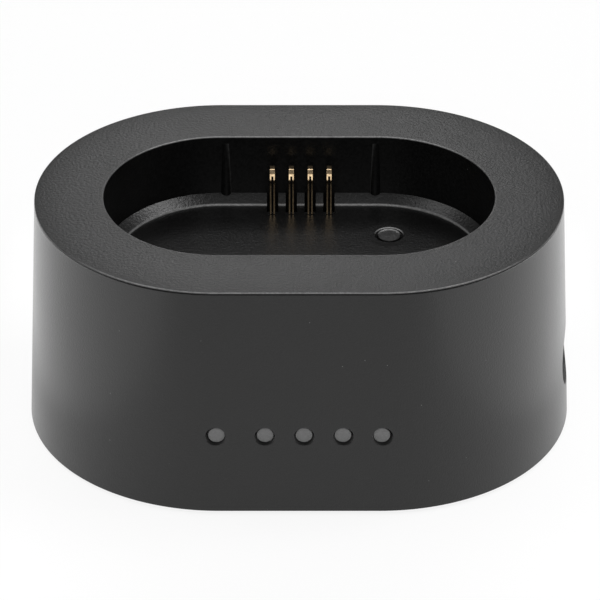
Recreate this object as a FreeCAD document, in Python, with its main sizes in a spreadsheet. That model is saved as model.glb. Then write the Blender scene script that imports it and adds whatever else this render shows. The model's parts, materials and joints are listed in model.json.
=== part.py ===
"""Desk charger for a camera flash battery, as a parametric document in millimetres.

The charger stands on z = 0 with +Z up. Its long side runs along X, the row of indicators
faces -Y and the power inlet opens towards +X.
"""
import FreeCAD
import Part
import Sketcher
import math
import os
import re

SIZES = {
    # outer form, measured at the lower edge of the housing
    "body_length": 85.5,
    "body_depth": 60.8,
    "body_height": 38.6,
    "wall_draft": 2.55,
    "wall": 2.2,
    "foot_proud": 0.6,
    "fit_gap": 0.15,
    # seam between housing and top cover
    "rim_thick": 0.4,
    "rim_bevel": 0.25,
    "seam_groove": 0.2,
    "cover_plate": 2.2,
    # battery bay
    "top_border": 10.83,
    "bay_depth": 11.7,
    "bay_bevel": 0.4,
    "bay_floor": 1.8,
    "cup_wall": 1.8,
    "ledge_depth": 10.6,
    "ledge_width": 1.5,
    "ledge_lip": 0.35,
    "rib_spacing": 23.8,
    "rib_radius": 1.0,
    "rib_sink": 0.5,
    "rib_drop": 1.3,
    "mark_x": 14.2,
    "mark_y": 7.4,
    "mark_radius": 2.4,
    "mark_disc": 1.9,
    "mark_depth": 0.2,
    "mark_groove": 0.5,
    # contact blades, folded from strip, and how far they and the ribs stand off the middle
    "bay_shift": 0.25,
    "contact_pitch": 3.0,
    "blade_thick": 0.84,
    "blade_leaf": 0.28,
    "blade_bridge": 0.75,
    "blade_setback": 4.38,
    "blade_depth": 2.6,
    "blade_height": 7.5,
    "blade_round": 2.0,
    "blade_fold": 0.12,
    "tail_depth": 1.2,
    "tail_proud": 0.8,
    "slot_width": 1.8,
    "slot_front_gap": 0.15,
    "carrier_margin": 1.3,
    "contact_gap": 0.05,
    # indicators in the front wall
    "indicator_rise": 13.35,
    "indicator_pitch": 6.0,
    "status_gap": 7.5,
    "indicator_hole": 3.1,
    "guide_pin": 2.6,
    "guide_recess": 0.45,
    "guide_shrink": 0.987,
    "guide_bar_height": 3.2,
    "guide_bar_thick": 1.5,
    "guide_bar_end": 2.4,
    "guide_arm_reach": 6.5,
    "led_long": 3.2,
    "led_wide": 2.8,
    "led_tall": 1.9,
    "led_terminal": 2.2,
    "led_span": 3.6,
    "led_gap": 0.3,
    # power inlet
    "inlet_offset": 2.0,
    "inlet_rise": 11.0,
    "inlet_hole": 10.4,
    "jack_width": 10.0,
    "jack_long": 14.0,
    "jack_axis_drop": 6.5,
    "jack_below": 5.2,
    "jack_entry_bore": 6.4,
    "jack_entry": 2.0,
    "jack_bore": 5.7,
    "jack_bore_depth": 10.0,
    "jack_gap": 0.3,
    "pin_size": 2.1,
    "pin_setback": 2.6,
    "tab_wide": 2.4,
    "tab_thick": 0.8,
    "spring_wide": 2.6,
    "spring_thick": 0.4,
    "spring_gap": 0.1,
    "spring_bump": 0.8,
    "spring_setback": 4.0,
    "spring_cross": 1.2,
    "riser_wide": 1.8,
    # circuit board and what hangs under it
    "board_margin": 1.12,
    "board_thick": 1.6,
    "tongue_width": 31.0,
    "tongue_gap": 1.38,
    "post_x": 20.0,
    "post_y": 13.0,
    "post_size": 5.0,
    "board_screw": 2.2,
    "board_screw_head": 4.0,
    "board_screw_head_thick": 1.5,
    "board_screw_share": 0.66,
    "thread_gap": 0.05,
    "clear_gap": 0.2,
    "inductor_side": 10.0,
    "inductor_tall": 5.5,
    "inductor_corner": 1.6,
    "inductor_x": -5.0,
    "inductor_y": 7.0,
    "can_large": 8.0,
    "can_large_tall": 10.0,
    "can_large_x": -25.5,
    "can_small": 6.3,
    "can_small_tall": 7.7,
    "can_small_x": -12.5,
    "can_small_y": -8.0,
    "chip_long": 9.9,
    "chip_wide": 3.9,
    "chip_tall": 1.5,
    "chip_span": 6.0,
    "chip_lead": 0.42,
    "chip_lead_pitch": 1.27,
    "lead_sheet": 0.25,
    "chip_x": 2.5,
    "chip_y": -8.0,
    "transistor_wide": 6.6,
    "transistor_long": 6.1,
    "transistor_tall": 2.3,
    "transistor_tab": 1.6,
    "transistor_lead": 0.8,
    "transistor_x": 7.0,
    "transistor_y": 7.0,
    "diode_long": 6.8,
    "diode_wide": 5.8,
    "diode_tall": 2.2,
    "diode_lead": 3.0,
    "diode_span": 7.9,
    "diode_x": 16.0,
    "diode_y": 1.0,
    "fuse_long": 6.1,
    "fuse_side": 2.5,
    "fuse_cap": 1.4,
    "fuse_cap_proud": 0.1,
    "fuse_x": 14.0,
    "fuse_y": -8.5,
    "resistor_long": 3.2,
    "resistor_wide": 1.6,
    "resistor_tall": 0.6,
    "resistor_y": -15.5,
    # base cover, its screws and feet
    "base_thick": 2.0,
    "base_recess": 0.3,
    "base_rebate": 1.0,
    "boss_gap": 0.68,
    "boss_size": 5.6,
    "base_screw": 2.6,
    "base_screw_sink": 1.2,
    "base_screw_grip": 8.0,
    "foot_size": 8.0,
    "foot_corner": 1.6,
    "foot_seat": 1.0,
    "foot_end_inset": 23.75,
    "foot_side_inset": 11.4,
}

doc = FreeCAD.newDocument("flash_battery_charger")
sheet = doc.addObject("Spreadsheet::Sheet", "Sizes")
for row, (name, value) in enumerate(SIZES.items(), 1):
    sheet.set(f"A{row}", name)
    sheet.set(f"B{row}", str(value))
    sheet.setAlias(f"B{row}", name)
doc.recompute()

nodes = []


def formula(text):
    """The text with the sheet's name put before every size that it mentions."""
    return re.sub(r"[a-z_]+", lambda word: f"Sizes.{word[0]}" if word[0] in SIZES else word[0], str(text))


def number(text):
    """The present value of a formula."""
    value = sheet.evalExpression(formula(text))
    return float(getattr(value, "Value", value))


def bind(thing, **sizes):
    """Tie properties to formulas; a double underscore stands for a dot in a property's path."""
    for path, text in sizes.items():
        thing.setExpression(path.replace("__", "."), formula(text))
    return thing


def place(thing, x="0", y="0", z="0", turn=None):
    """Put an object at a formula for each axis, after an optional fixed turn (axis, degrees)."""
    if turn:
        rotation = FreeCAD.Rotation(FreeCAD.Vector(*turn[0]), turn[1])
        thing.Placement = FreeCAD.Placement(FreeCAD.Vector(), rotation)
    return bind(thing, Placement__Base__x=x, Placement__Base__y=y, Placement__Base__z=z)


def node(thing, label):
    """Name an object as one of the charger's pieces."""
    thing.Label = label
    nodes.append(thing)
    return thing


def body(label):
    """An empty body for one piece."""
    return node(doc.addObject("PartDesign::Body", label), label)


def origin_feature(owner, role):
    """One of a body's own planes or axes."""
    return next(feature for feature in owner.Origin.OriginFeatures if feature.Role == role)


def sketch(owner, name, role, x="0", y="0", rise="0"):
    """An empty sketch on a plane of its body, moved within that plane and lifted off it."""
    drawn = owner.newObject("Sketcher::SketchObject", name)
    drawn.AttachmentSupport = [(origin_feature(owner, role), "")]
    drawn.MapMode = "FlatFace"
    base = "AttachmentOffset__Base__"
    return bind(drawn, **{f"{base}x": x, f"{base}y": y, f"{base}z": rise})


def relate(drawn, *constraints):
    """Add constraints that have no size."""
    for constraint in constraints:
        drawn.addConstraint(Sketcher.Constraint(*constraint))


def dimension(drawn, text, *where):
    """Add a constraint whose size is a formula."""
    index = drawn.addConstraint(Sketcher.Constraint(*where, number(text)))
    drawn.setExpression(f"Constraints[{index}]", formula(text))


def stadium(owner, name, half, radius, rise):
    """A level outline of two straight sides joined by half circles, centred on the Z axis."""
    drawn = sketch(owner, name, "XY_Plane", rise=rise)
    a, r, up = number(half), number(radius), FreeCAD.Vector(0, 0, 1)
    right_circle = Part.Circle(FreeCAD.Vector(a, 0, 0), up, r)
    left_circle = Part.Circle(FreeCAD.Vector(-a, 0, 0), up, r)
    right = drawn.addGeometry(Part.ArcOfCircle(right_circle, -math.pi / 2, math.pi / 2))
    back = drawn.addGeometry(Part.LineSegment(FreeCAD.Vector(a, r, 0), FreeCAD.Vector(-a, r, 0)))
    left = drawn.addGeometry(Part.ArcOfCircle(left_circle, math.pi / 2, 3 * math.pi / 2))
    front = drawn.addGeometry(Part.LineSegment(FreeCAD.Vector(-a, -r, 0), FreeCAD.Vector(a, -r, 0)))
    for one, other in ((right, back), (back, left), (left, front), (front, right)):
        relate(drawn, ("Tangent", one, 2, other, 1))
    relate(drawn, ("Equal", right, left), ("PointOnObject", right, 3, -1))
    relate(drawn, ("Symmetric", left, 3, right, 3, -1, 1))
    dimension(drawn, radius, "Radius", right)
    dimension(drawn, f"2 * ({half})", "DistanceX", left, 3, right, 3)
    return drawn


def rectangle(owner, name, role, width, height, **where):
    """A rectangle centred on the sketch's own origin."""
    drawn = sketch(owner, name, role, **where)
    w, h = number(width) / 2, number(height) / 2
    corners = [FreeCAD.Vector(x, y, 0) for x, y in ((-w, -h), (w, -h), (w, h), (-w, h))]
    for start, end in zip(corners, corners[1:] + corners[:1]):
        drawn.addGeometry(Part.LineSegment(start, end))
    for side in range(4):
        relate(drawn, ("Coincident", side, 2, (side + 1) % 4, 1))
        relate(drawn, (("Horizontal", "Vertical")[side % 2], side))
    relate(drawn, ("Symmetric", 0, 1, 2, 1, -1, 1))
    dimension(drawn, width, "DistanceX", 0, 1, 0, 2)
    dimension(drawn, height, "DistanceY", 1, 1, 1, 2)
    return drawn


def circles(owner, name, role, *diameters, **where):
    """One circle, or a ring of two, about the sketch's own origin."""
    drawn = sketch(owner, name, role, **where)
    for text in diameters:
        circle = Part.Circle(FreeCAD.Vector(), FreeCAD.Vector(0, 0, 1), number(f"({text}) / 2"))
        index = drawn.addGeometry(circle)
        relate(drawn, ("Coincident", index, 3, -1, 1))
        dimension(drawn, f"({text}) / 2", "Radius", index)
    return drawn


def profile(owner, name, role, points, **where):
    """A closed outline of straight lines whose corners are pairs of formulas, none of them below zero."""
    drawn = sketch(owner, name, role, **where)
    corners = [FreeCAD.Vector(number(x), number(y), 0) for x, y in points]
    for start, end in zip(corners, corners[1:] + corners[:1]):
        drawn.addGeometry(Part.LineSegment(start, end))
    for index, (x, y) in enumerate(points):
        relate(drawn, ("Coincident", index - 1 if index else len(points) - 1, 2, index, 1))
        for text, kind, axis in ((x, "DistanceX", -2), (y, "DistanceY", -1)):
            if text == "0":
                relate(drawn, ("PointOnObject", index, 1, axis))
            else:
                dimension(drawn, text, kind, -1, 1, index, 1)
    return drawn


def feature(owner, kind, name, drawn, reverse=False, **sizes):
    """A pad, pocket or other step of a body made from a sketch."""
    made = owner.newObject(f"PartDesign::{kind}", name)
    made.Profile = drawn
    if reverse:
        made.Reversed = True
    return bind(made, **sizes)


def through(owner, name, drawn, reverse=False):
    """A pocket right through, one way from its sketch."""
    made = feature(owner, "Pocket", name, drawn, reverse)
    made.Type = "ThroughAll"
    return made


def loft(owner, kind, name, low, high):
    """Straight-sided skin between two outlines."""
    made = feature(owner, kind, name, low)
    made.Sections = [high]
    made.Ruled = True
    return made


def spin(owner, name, drawn):
    """A full turn of a profile about its sketch's upright axis."""
    made = owner.newObject("PartDesign::Revolution", name)
    made.Profile = drawn
    made.ReferenceAxis = (drawn, ["V_Axis"])
    made.Angle = 360
    return made


def row_of(owner, name, originals, count, length):
    """Repeat steps of a body along X."""
    made = owner.newObject("PartDesign::LinearPattern", name)
    made.Originals = originals
    made.Direction = (origin_feature(owner, "X_Axis"), [""])
    made.Occurrences = count
    owner.Tip = made
    return bind(made, Length=length)


def four_corners(owner, name, originals, x, y):
    """Repeat steps made at (-x, -y) at the other three corners."""
    made = row_of(owner, name, originals, 2, f"2 * ({x})")
    made.Direction2 = (origin_feature(owner, "Y_Axis"), [""])
    made.Occurrences2 = 2
    return bind(made, Length2=f"2 * ({y})")


def dress(owner, kind, name, base, chosen, **sizes):
    """Fillet or chamfer the edges of the last step that a test picks out."""
    doc.recompute()
    edges = [f"Edge{index}" for index, edge in enumerate(base.Shape.Edges, 1) if chosen(edge)]
    made = owner.newObject(f"PartDesign::{kind}", name)
    made.Base = (base, edges)
    return bind(made, **sizes)


def around(half, radius, height):
    """A test for the edges of a stadium outline at one height."""
    a, r, z = number(half), number(radius), number(height)

    def chosen(edge):
        return all(
            abs(math.hypot(max(abs(point.X) - a, 0), point.Y) - r) < 0.01 and abs(point.Z - z) < 0.01
            for point in edge.Vertexes
        )

    return chosen


def upright(edge):
    """A test for a block's upright edges."""
    return edge.BoundBox.ZLength > 1


def block(name, sizes, low):
    """A box by three formulas for its sides and three for its lowest corner."""
    made = bind(doc.addObject("Part::Box", name), Length=sizes[0], Width=sizes[1], Height=sizes[2])
    return place(made, *low)


def rod(name, diameter, length, foot, turn=None):
    """A cylinder from its foot, along Z or turned from there."""
    made = bind(doc.addObject("Part::Cylinder", name), Radius=f"({diameter}) / 2", Height=length)
    return place(made, *foot, turn=turn)


def join(name, pieces):
    """One solid from several that touch."""
    made = doc.addObject("Part::MultiFuse", name)
    made.Shapes = pieces
    return made


def outside(height):
    """Radius of the housing's outer face at a height, straight sides and ends alike."""
    return f"(body_depth / 2 - ({height} - foot_proud) * tan(wall_draft))"


def inside(height):
    """Radius of the housing's inner face at a height."""
    return f"({outside(height)} - wall)"


# Levels and outlines that several pieces share
HALF = "((body_length - body_depth) / 2)"
TOP = "(foot_proud + body_height)"
SEAM = f"({TOP} - rim_thick)"
BAY = f"({outside(SEAM)} - top_border)"
LEDGE = f"({TOP} - ledge_depth)"
FLOOR = f"({TOP} - bay_depth)"
FLOOR_UNDER = f"({FLOOR} - bay_floor)"
PLATE_UNDER = f"({TOP} - cover_plate)"
AXIS_Z = "(foot_proud + inlet_rise)"
BOARD_UNDER = f"({AXIS_Z} + jack_axis_drop)"
BOARD_TOP = f"({BOARD_UNDER} + board_thick)"
LAMP_Z = "(foot_proud + indicator_rise)"
BOSS_RING = f"({inside(PLATE_UNDER)} - boss_size / 2 - boss_gap)"
BOSS_X = f"({HALF} + {BOSS_RING} * cos(45))"
BOSS_Y = f"({BOSS_RING} * sin(45))"
BLADE_FRONT = f"({BAY} - blade_setback)"
BLADE_Y = f"({BLADE_FRONT} + blade_depth / 2)"
FIRST_BLADE = "(bay_shift - 1.5 * contact_pitch)"
FOOT_X = "(body_length / 2 - foot_end_inset)"
FOOT_Y = "(body_depth / 2 - foot_side_inset)"
BASE_UNDER = "(foot_proud + base_recess)"
BASE_TOP = f"({BASE_UNDER} + base_thick)"
GUIDE_LOW = f"({LAMP_Z} - guide_bar_height / 2)"
GUIDE_TOP = f"({LAMP_Z} + guide_bar_height / 2)"
BAR_FRONT = f"({inside(GUIDE_TOP)} - fit_gap)"
BAR_BACK = f"({BAR_FRONT} - guide_bar_thick)"
TONGUE = f"({BAR_BACK} - tongue_gap)"
FIRST_LAMP = "(-(status_gap + 3 * indicator_pitch) / 2)"
LAMPS = [FIRST_LAMP] + [f"({FIRST_LAMP} + status_gap + {index} * indicator_pitch)" for index in range(4)]


# Housing: an open drafted tube, rebated below for the base cover
housing = body("housing")
foot_line = stadium(housing, "housing_foot", HALF, outside("foot_proud"), "foot_proud")
seam_line = stadium(housing, "housing_seam", HALF, outside(SEAM), SEAM)
loft(housing, "AdditiveLoft", "housing_skin", foot_line, seam_line)
inner_foot = stadium(housing, "housing_inner_foot", HALF, inside("foot_proud"), "foot_proud")
inner_seam = stadium(housing, "housing_inner_seam", HALF, inside(SEAM), SEAM)
loft(housing, "SubtractiveLoft", "housing_hollow", inner_foot, inner_seam)
rebate_radius = "(body_depth / 2 - wall + base_rebate)"
rebate = stadium(housing, "rebate_outline", HALF, rebate_radius, "foot_proud")
rebated = feature(housing, "Pocket", "base_rebate_cut", rebate, True, Length=f"{BASE_TOP} - foot_proud")
dress(housing, "Chamfer", "seam_groove_cut", rebated, around(HALF, outside(SEAM), SEAM), Size="seam_groove")
status_hole = circles(housing, "status_outline", "XZ_Plane", "indicator_hole", x=LAMPS[0], y=LAMP_Z)
through(housing, "status_hole", status_hole, reverse=True)
level_hole = circles(housing, "level_outline", "XZ_Plane", "indicator_hole", x=LAMPS[1], y=LAMP_Z)
first_level = through(housing, "first_level_hole", level_hole, reverse=True)
row_of(housing, "level_holes", [first_level], 4, "3 * indicator_pitch")
inlet = circles(housing, "inlet_outline", "YZ_Plane", "inlet_hole", x="-inlet_offset", y=AXIS_Z)
through(housing, "inlet_hole_cut", inlet, reverse=True)

# Top cover: rim, plate and battery bay in one moulding
top_cover = body("top_cover")
rim = stadium(top_cover, "rim_outline", HALF, outside(SEAM), SEAM)
feature(top_cover, "Pad", "rim", rim, Length="rim_thick")
plate = stadium(top_cover, "plate_outline", HALF, f"{inside(SEAM)} - fit_gap", PLATE_UNDER)
feature(top_cover, "Pad", "plate", plate, Length=f"{SEAM} - {PLATE_UNDER}")
cup = stadium(top_cover, "cup_outline", HALF, f"{BAY} + cup_wall", FLOOR_UNDER)
feature(top_cover, "Pad", "cup", cup, Length=f"{SEAM} - {FLOOR_UNDER}")
mouth = stadium(top_cover, "bay_outline", HALF, BAY, TOP)
feature(top_cover, "Pocket", "bay", mouth, Length="ledge_depth")
ledge_high = stadium(top_cover, "ledge_high", HALF, BAY, LEDGE)
ledge_low = stadium(top_cover, "ledge_low", HALF, f"{BAY} - ledge_width", f"{FLOOR} + ledge_lip")
loft(top_cover, "SubtractiveLoft", "ledge", ledge_low, ledge_high)
floor = stadium(top_cover, "floor_outline", HALF, f"{BAY} - ledge_width", f"{FLOOR} + ledge_lip")
sunk = feature(top_cover, "Pocket", "floor", floor, Length="ledge_lip")
edged = dress(top_cover, "Chamfer", "rim_edge", sunk, around(HALF, outside(SEAM), TOP), Size="rim_bevel")
dress(top_cover, "Chamfer", "bay_edge", edged, around(HALF, BAY, TOP), Size="bay_bevel")
rib_foot = f"({FLOOR} - bay_floor / 2)"
rib = circles(
    top_cover, "rib_outline", "XY_Plane", "2 * rib_radius",
    x="bay_shift - rib_spacing / 2", y=f"{BAY} + rib_sink", rise=rib_foot,
)
first_rib = feature(top_cover, "Pad", "first_rib", rib, Length=f"{TOP} - rib_drop - {rib_foot}")
row_of(top_cover, "guide_ribs", [first_rib], 2, "rib_spacing")
slot_front = f"({BLADE_FRONT} - slot_front_gap)"
slot = rectangle(
    top_cover, "slot_outline", "XY_Plane", "slot_width", f"{BAY} - {slot_front}",
    x=FIRST_BLADE, y=f"({BAY} + {slot_front}) / 2", rise=LEDGE,
)
first_slot = feature(top_cover, "Pocket", "first_slot", slot, Length=f"{LEDGE} - {FLOOR_UNDER}")
row_of(top_cover, "contact_slots", [first_slot], 4, "3 * contact_pitch")
mark = circles(top_cover, "mark_outline", "XY_Plane", "2 * mark_radius", x="mark_x", y="mark_y", rise=FLOOR)
feature(top_cover, "Pocket", "mark_dish", mark, Length="mark_depth")
mark_ring = circles(
    top_cover, "mark_ring_outline", "XY_Plane", "2 * mark_radius", "2 * mark_disc",
    x="mark_x", y="mark_y", rise=FLOOR,
)
feature(top_cover, "Pocket", "mark_ring", mark_ring, Length="mark_groove")
boss = circles(
    top_cover, "boss_outline", "XY_Plane", "boss_size", "base_screw + 2 * thread_gap",
    x=f"-{BOSS_X}", y=f"-{BOSS_Y}", rise=BASE_TOP,
)
first_boss = feature(top_cover, "Pad", "first_boss", boss, Length=f"{PLATE_UNDER} - {BASE_TOP}")
four_corners(top_cover, "screw_bosses", [first_boss], BOSS_X, BOSS_Y)
at_post = {"x": "-post_x", "y": "-post_y", "rise": BOARD_TOP}
post = rectangle(top_cover, "post_outline", "XY_Plane", "post_size", "post_size", **at_post)
first_post = feature(top_cover, "Pad", "first_post", post, Length=f"{FLOOR_UNDER} - {BOARD_TOP}")
thread = circles(top_cover, "post_thread_outline", "XY_Plane", "board_screw + 2 * thread_gap", **at_post)
first_thread = feature(
    top_cover, "Pocket", "first_thread", thread, True, Length=f"{FLOOR_UNDER} - {BOARD_TOP}"
)
row_of(top_cover, "board_posts", [first_post, first_thread], 2, "2 * post_x")

# Base cover: a plate in the housing's rebate, countersunk for the screws that go up into the bosses
base_cover = body("base_cover")
base_line = stadium(base_cover, "base_outline", HALF, f"{rebate_radius} - fit_gap", BASE_UNDER)
feature(base_cover, "Pad", "base_plate", base_line, Length="base_thick")
screw_hole = circles(
    base_cover, "screw_hole_outline", "XY_Plane", "base_screw + 2 * clear_gap",
    x=f"-{BOSS_X}", y=f"-{BOSS_Y}", rise=BASE_TOP,
)
first_screw_hole = feature(base_cover, "Pocket", "first_screw_hole", screw_hole, Length="base_thick")
drilled = four_corners(base_cover, "screw_holes", [first_screw_hole], BOSS_X, BOSS_Y)
under, hole_radius = number(BASE_UNDER), number("base_screw / 2 + clear_gap")
dress(
    base_cover, "Chamfer", "countersinks", drilled,
    lambda edge: abs(edge.BoundBox.ZMax - under) < 0.01
    and abs(edge.BoundBox.XLength / 2 - hole_radius) < 0.01,
    Size="base_screw_sink",
)
recess = rectangle(
    base_cover, "foot_recess_outline", "XY_Plane", "foot_size + 2 * fit_gap", "foot_size + 2 * fit_gap",
    x=f"-{FOOT_X}", y=f"-{FOOT_Y}", rise=BASE_UNDER,
)
first_recess = feature(base_cover, "Pocket", "first_foot_recess", recess, True, Length="foot_seat")
four_corners(base_cover, "foot_recesses", [first_recess], FOOT_X, FOOT_Y)

# Rubber feet with cut corners, glued into the base's recesses
for index, (along, across) in enumerate(((-1, -1), (1, -1), (1, 1), (-1, 1)), 1):
    foot = body(f"foot_{index}")
    foot_line = rectangle(
        foot, f"foot_outline_{index}", "XY_Plane", "foot_size", "foot_size",
        x=f"{along} * {FOOT_X}", y=f"{across} * {FOOT_Y}",
    )
    pad = feature(foot, "Pad", f"foot_pad_{index}", foot_line, Length=f"{BASE_UNDER} + foot_seat")
    dress(foot, "Chamfer", f"foot_corners_{index}", pad, upright, Size="foot_corner")


def screws(label, points, x, y, z):
    """The first of a set of screws pointing up, turned from half its outline at (-x, -y), head at z."""
    owner = body(label)
    owner.AllowCompound = True
    outline = profile(owner, f"{label}_outline", "XZ_Plane", points, x=f"-{x}", y=z, rise=y)
    return owner, f"{label}_set", [spin(owner, f"{label}_first", outline)]


# Base screws: countersunk heads, their faces a little above the base's underside
base_screw_long = "base_thick + base_screw_grip"
base_screw_points = [
    ("0", "0"),
    ("base_screw / 2 + base_screw_sink", "0"),
    ("base_screw / 2", "base_screw_sink"),
    ("base_screw / 2", base_screw_long),
    ("0", base_screw_long),
]
base_screws = screws("base_screws", base_screw_points, BOSS_X, BOSS_Y, f"{BASE_UNDER} + clear_gap")
four_corners(*base_screws, BOSS_X, BOSS_Y)

# Board screws: flat heads under the board
board_screw_grip = f"board_screw_share * ({FLOOR_UNDER} - {BOARD_TOP})"
board_screw_long = f"board_screw_head_thick + board_thick + {board_screw_grip}"
board_screw_points = [
    ("0", "0"),
    ("board_screw_head / 2", "0"),
    ("board_screw_head / 2", "board_screw_head_thick"),
    ("board_screw / 2", "board_screw_head_thick"),
    ("board_screw / 2", board_screw_long),
    ("0", board_screw_long),
]
board_screws = screws(
    "board_screws", board_screw_points, "post_x", "post_y", f"{BOARD_UNDER} - board_screw_head_thick"
)
row_of(*board_screws, 2, "2 * post_x")

# Circuit board: bay-shaped, with a tongue over the indicators and one over the power socket
jack_corner = f"({inside(BOARD_UNDER)})"
JACK_FRONT = f"({HALF} + sqrt({jack_corner}^2 - (inlet_offset + jack_width / 2)^2) - jack_gap)"
JACK_BACK = f"({JACK_FRONT} - jack_long)"
main_board = body("main_board")
board_line = stadium(main_board, "board_outline", HALF, f"{BAY} + board_margin", BOARD_UNDER)
feature(main_board, "Pad", "board", board_line, Length="board_thick")
lamp_tongue = rectangle(
    main_board, "lamp_tongue_outline", "XY_Plane", "tongue_width", TONGUE,
    y=f"-{TONGUE} / 2", rise=BOARD_UNDER,
)
feature(main_board, "Pad", "lamp_tongue", lamp_tongue, Length="board_thick")
jack_tongue = rectangle(
    main_board, "jack_tongue_outline", "XY_Plane", JACK_FRONT, "jack_width + 2 * jack_gap",
    x=f"{JACK_FRONT} / 2", y="-inlet_offset", rise=BOARD_UNDER,
)
feature(main_board, "Pad", "jack_tongue", jack_tongue, Length="board_thick")
post_hole = circles(
    main_board, "post_hole_outline", "XY_Plane", "board_screw + 2 * clear_gap",
    x="-post_x", y="-post_y", rise=BOARD_TOP,
)
first_hole = feature(main_board, "Pocket", "first_post_hole", post_hole, Length="board_thick")
row_of(main_board, "post_holes", [first_hole], 2, "2 * post_x")
tail_slot = rectangle(
    main_board, "tail_slot_outline", "XY_Plane",
    "blade_thick + 2 * contact_gap", "tail_depth + 2 * contact_gap",
    x=FIRST_BLADE, y=BLADE_Y, rise=BOARD_TOP,
)
first_tail = feature(main_board, "Pocket", "first_tail_slot", tail_slot, Length="board_thick")
row_of(main_board, "tail_slots", [first_tail], 4, "3 * contact_pitch")

# Contact carrier: the insulating block that holds the blades between board and bay floor
contact_carrier = body("contact_carrier")
carrier_line = rectangle(
    contact_carrier, "carrier_outline", "XY_Plane", "3 * contact_pitch + blade_thick + 2 * carrier_margin",
    "blade_depth + 2 * carrier_margin", x="bay_shift", y=BLADE_Y, rise=BOARD_TOP,
)
feature(contact_carrier, "Pad", "carrier", carrier_line, Length=f"{FLOOR_UNDER} - {BOARD_TOP}")
blade_slot = rectangle(
    contact_carrier, "blade_slot_outline", "XY_Plane", "blade_thick + 2 * contact_gap",
    "blade_depth + 2 * contact_gap", x=FIRST_BLADE, y=BLADE_Y, rise=FLOOR_UNDER,
)
first_blade_slot = feature(
    contact_carrier, "Pocket", "first_blade_slot", blade_slot, Length=f"{FLOOR_UNDER} - {BOARD_TOP}"
)
row_of(contact_carrier, "blade_slots", [first_blade_slot], 4, "3 * contact_pitch")

# Contact blades: strip folded double over the top, both leaves running down to tails in the board
BLADE_TOP = f"({FLOOR} + blade_height)"
TAIL_END = f"({BOARD_UNDER} - tail_proud)"
for index in range(4):
    blade = body(f"contact_{index + 1}")
    place(blade, x=f"{FIRST_BLADE} + {index} * contact_pitch")
    side = rectangle(
        blade, f"blade_side_{index}", "YZ_Plane", "blade_depth", f"{BLADE_TOP} - {BOARD_TOP}",
        x=BLADE_Y, y=f"({BLADE_TOP} + {BOARD_TOP}) / 2", rise="-blade_thick / 2",
    )
    leaf = feature(blade, "Pad", f"blade_leaf_{index}", side, Length="blade_thick")
    top_z, front_y, half_x = number(BLADE_TOP), number(BLADE_FRONT), number("blade_thick / 2")
    nosed = dress(
        blade, "Fillet", f"blade_nose_{index}", leaf,
        lambda edge: all(abs(p.Z - top_z) < 0.01 and abs(p.Y - front_y) < 0.01 for p in edge.Vertexes),
        Radius="blade_round",
    )
    low_z = top_z - number("blade_round") - 0.01
    dress(
        blade, "Chamfer", f"blade_fold_{index}", nosed,
        lambda edge: all(p.Z > low_z and abs(abs(p.X) - half_x) < 0.01 for p in edge.Vertexes)
        and abs(edge.CenterOfMass.x) > half_x - 0.01 and edge.BoundBox.YLength > 0.1,
        Size="blade_fold",
    )
    tail = rectangle(
        blade, f"blade_tail_{index}", "YZ_Plane", "tail_depth", f"{BOARD_TOP} - {TAIL_END}",
        x=BLADE_Y, y=f"({BOARD_TOP} + {TAIL_END}) / 2", rise="-blade_thick / 2",
    )
    feature(blade, "Pad", f"blade_tail_pad_{index}", tail, Length="blade_thick")
    between = rectangle(
        blade, f"blade_between_{index}", "XZ_Plane", "blade_thick - 2 * blade_leaf",
        f"{BLADE_TOP} - blade_bridge - {TAIL_END}", y=f"({BLADE_TOP} - blade_bridge + {TAIL_END}) / 2",
    )
    through(blade, f"blade_gap_{index}", between)

# Light guide: five pins on a bar, a little closer together than the holes, each with an arm behind
# it that is cut at 45 degrees to turn the light of a lamp on the board into the pin
PINS = [f"(guide_shrink * {lamp})" for lamp in LAMPS]
light_guide = body("light_guide")
bar_line = rectangle(
    light_guide, "bar_outline", "XZ_Plane", f"{PINS[4]} - {PINS[0]} + 2 * guide_bar_end", "guide_bar_height",
    x=f"({PINS[0]} + {PINS[4]}) / 2", y=LAMP_Z, rise=BAR_BACK,
)
feature(light_guide, "Pad", "bar", bar_line, Length="guide_bar_thick")
pin_long = f"{outside(LAMP_Z)} - guide_recess - {BAR_FRONT}"
arm_rise = f"({BOARD_UNDER} - led_tall - led_gap - {GUIDE_LOW})"
arm_points = [
    ("0", "0"),
    ("guide_arm_reach - guide_bar_height", "0"),
    ("guide_arm_reach", "guide_bar_height"),
    ("guide_arm_reach", arm_rise),
    ("guide_arm_reach - guide_bar_height", arm_rise),
    ("guide_arm_reach - guide_bar_height", "guide_bar_height"),
    ("0", "guide_bar_height"),
]
for index, pin_x in enumerate(PINS):
    pin_line = circles(
        light_guide, f"pin_outline_{index}", "XZ_Plane", "guide_pin", x=pin_x, y=LAMP_Z, rise=BAR_FRONT
    )
    feature(light_guide, "Pad", f"pin_{index}", pin_line, Length=pin_long)
    arm_line = profile(
        light_guide, f"arm_outline_{index}", "YZ_Plane", arm_points,
        x=f"-{BAR_FRONT}", y=GUIDE_LOW, rise=f"{pin_x} - guide_pin / 2",
    )
    feature(light_guide, "Pad", f"arm_{index}", arm_line, Length="guide_pin")

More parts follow.
